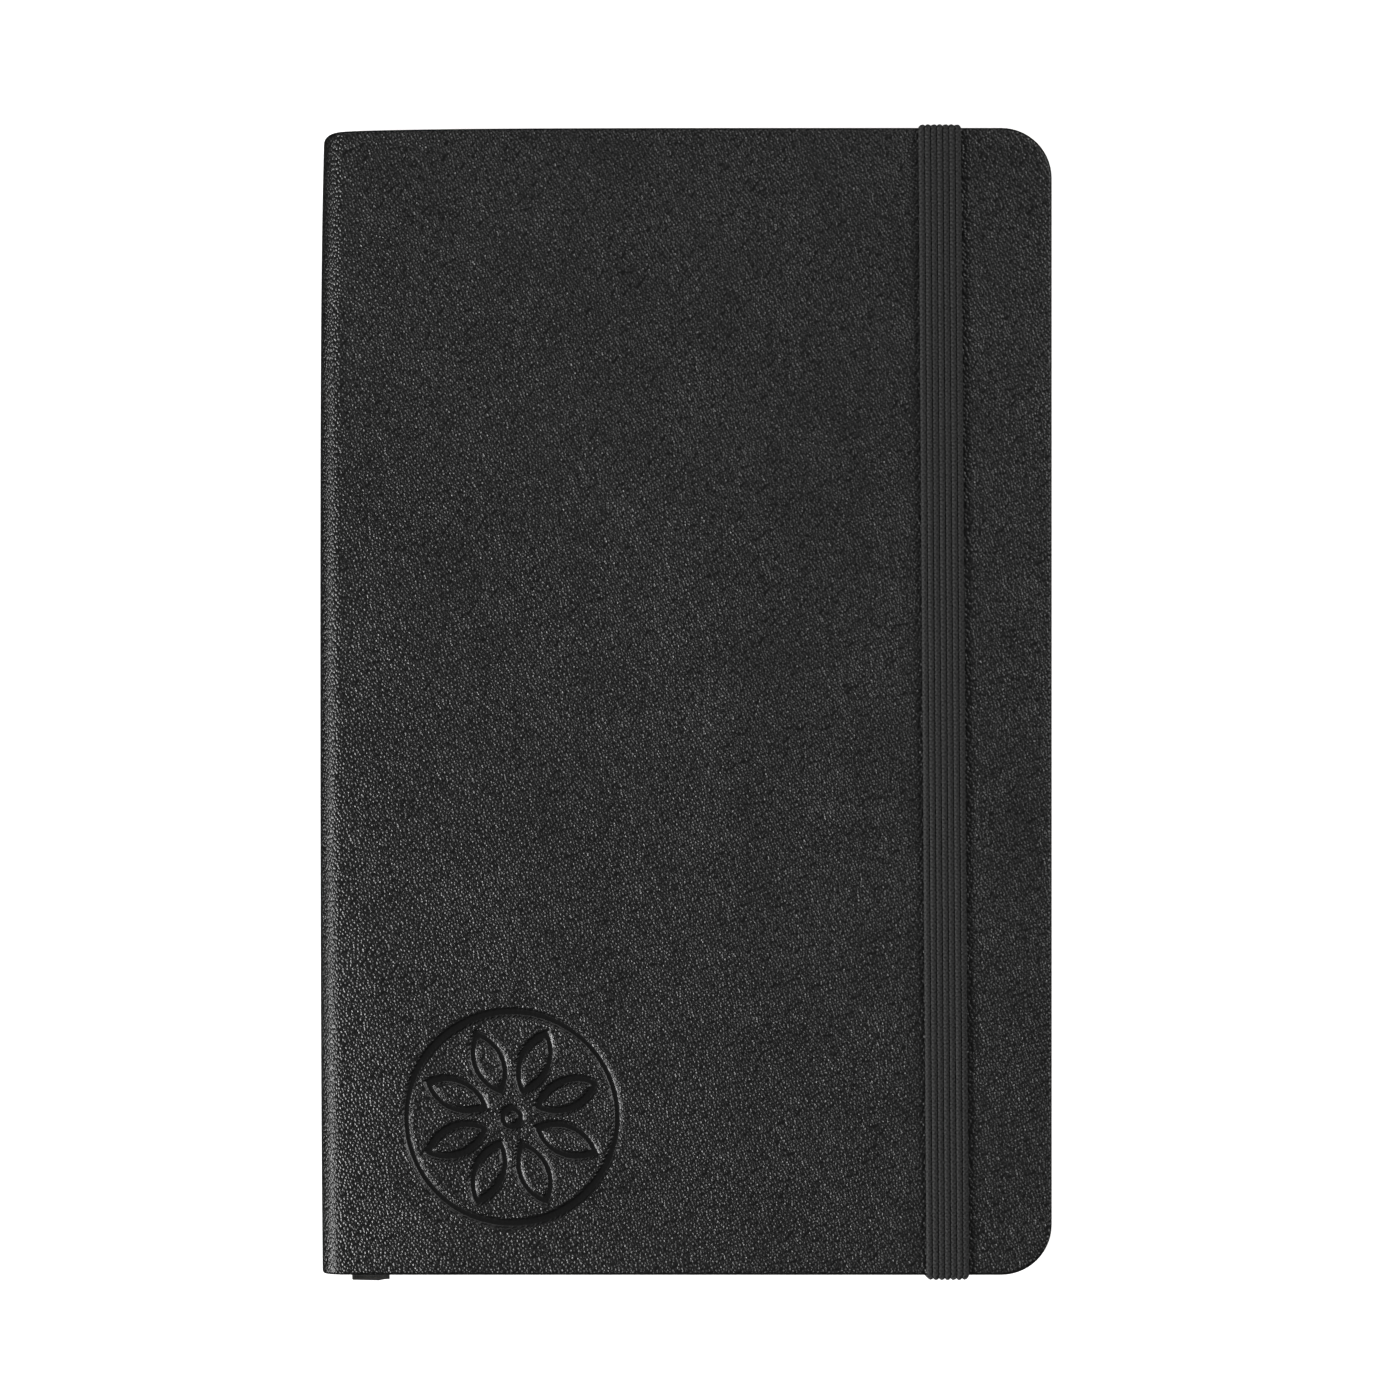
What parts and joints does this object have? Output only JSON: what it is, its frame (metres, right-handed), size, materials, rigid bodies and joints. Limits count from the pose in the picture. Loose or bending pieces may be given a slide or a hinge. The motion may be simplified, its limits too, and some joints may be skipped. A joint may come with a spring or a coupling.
{
  "type": "pocket notebook",
  "caption": "Soft-cover pocket notebook with sewn pages that open flat, an elastic closure band, a ribbon bookmark and an inner back pocket.",
  "frame": {"origin": "middle of the closed book in plan, at the surface that it lies on", "axes": "+X from the spine to the fore-edge, +Y from the tail to the head, +Z from the back cover to the front cover"},
  "size_m": [0.0894, 0.1414, 0.014],
  "materials": {
    "leatherette": "fine pebbled matt black leatherette",
    "cover_card": "flexible grey card",
    "lining_cloth": "open-weave mull",
    "endpaper": "smooth ivory endpaper",
    "page_paper": "smooth ivory writing paper",
    "sewing_thread": "waxed linen thread",
    "pocket_card": "ivory card",
    "gusset_cloth": "plain black cloth",
    "elastic": "ribbed black elastic, braided over rubber threads",
    "ribbon": "black satin ribbon"
  },
  "bodies": {
    "back_cover": {"back_cover_skin": "leatherette", "back_cover_board": "cover_card", "back_pastedown": "endpaper", "pocket_panel": "pocket_card", "pocket_gusset_head": "gusset_cloth", "pocket_gusset_tail": "gusset_cloth", "back_flyleaf": "endpaper", "signature_07": "page_paper", "signature_08": "page_paper", "signature_09": "page_paper", "signature_10": "page_paper", "signature_11": "page_paper", "signature_12": "page_paper", "elastic_anchor_head": "elastic", "elastic_anchor_tail": "elastic", "ribbon_run": "ribbon"},
    "spine": {"spine_skin": "leatherette", "front_joint_skin": "leatherette", "back_joint_skin": "leatherette", "spine_strip": "cover_card", "spine_lining": "lining_cloth", "stitch_row_1": "sewing_thread", "stitch_row_2": "sewing_thread", "stitch_row_3": "sewing_thread", "stitch_row_4": "sewing_thread", "ribbon_anchor": "ribbon"},
    "front_pages": {"signature_01": "page_paper", "signature_02": "page_paper", "signature_03": "page_paper", "signature_04": "page_paper", "signature_05": "page_paper", "signature_06": "page_paper"},
    "front_cover": {"front_cover_skin": "leatherette", "front_cover_board": "cover_card", "front_pastedown": "endpaper"},
    "front_flyleaf": {"front_flyleaf": "endpaper"},
    "elastic": {"elastic_band": "elastic"},
    "ribbon_tail": {"ribbon_tail": "ribbon"}
  },
  "joints": [
    {"name": "spine_flex", "type": "hinge", "parent": "back_cover", "child": "spine", "pos_m": [-0.04416, 0, 0.0012], "axis": [0, -1, 0], "range_deg": [0, 90], "deforming": ["back_joint_skin"]},
    {"name": "book_open", "type": "hinge", "parent": "spine", "child": "front_pages", "pos_m": [-0.04416, 0, 0.01276], "axis": [0, -1, 0], "range_deg": [0, 90], "deforming": ["front_joint_skin"]},
    {"name": "front_cover_open", "type": "hinge", "parent": "front_pages", "child": "front_cover", "pos_m": [-0.04416, 0, 0.01276], "axis": [0, -1, 0], "range_deg": [0, 150]},
    {"name": "flyleaf_turn", "type": "hinge", "parent": "front_pages", "child": "front_flyleaf", "pos_m": [-0.04416, 0, 0.01276], "axis": [0, -1, 0], "range_deg": [0, 140.62]},
    {"name": "elastic_swing", "type": "hinge", "parent": "back_cover", "child": "elastic", "pos_m": [0.0315, 0, 0.00665], "axis": [0, 1, 0], "range_deg": [0, 180], "deforming": ["elastic_band"]},
    {"name": "ribbon_unfold", "type": "hinge", "parent": "back_cover", "child": "ribbon_tail", "pos_m": [-0.03885, -0.07082, 0.00743], "axis": [1, 0, 0], "range_deg": [0, 175], "deforming": ["ribbon_tail"]}
  ],
  "couplings": [
    {"joint": "spine_flex", "follows": "book_open", "ratio": 1},
    {"joint": "elastic_swing", "follows": "book_open", "ratio": 2},
    {"joint": "flyleaf_turn", "follows": "front_cover_open", "ratio": 0.9375}
  ]
}
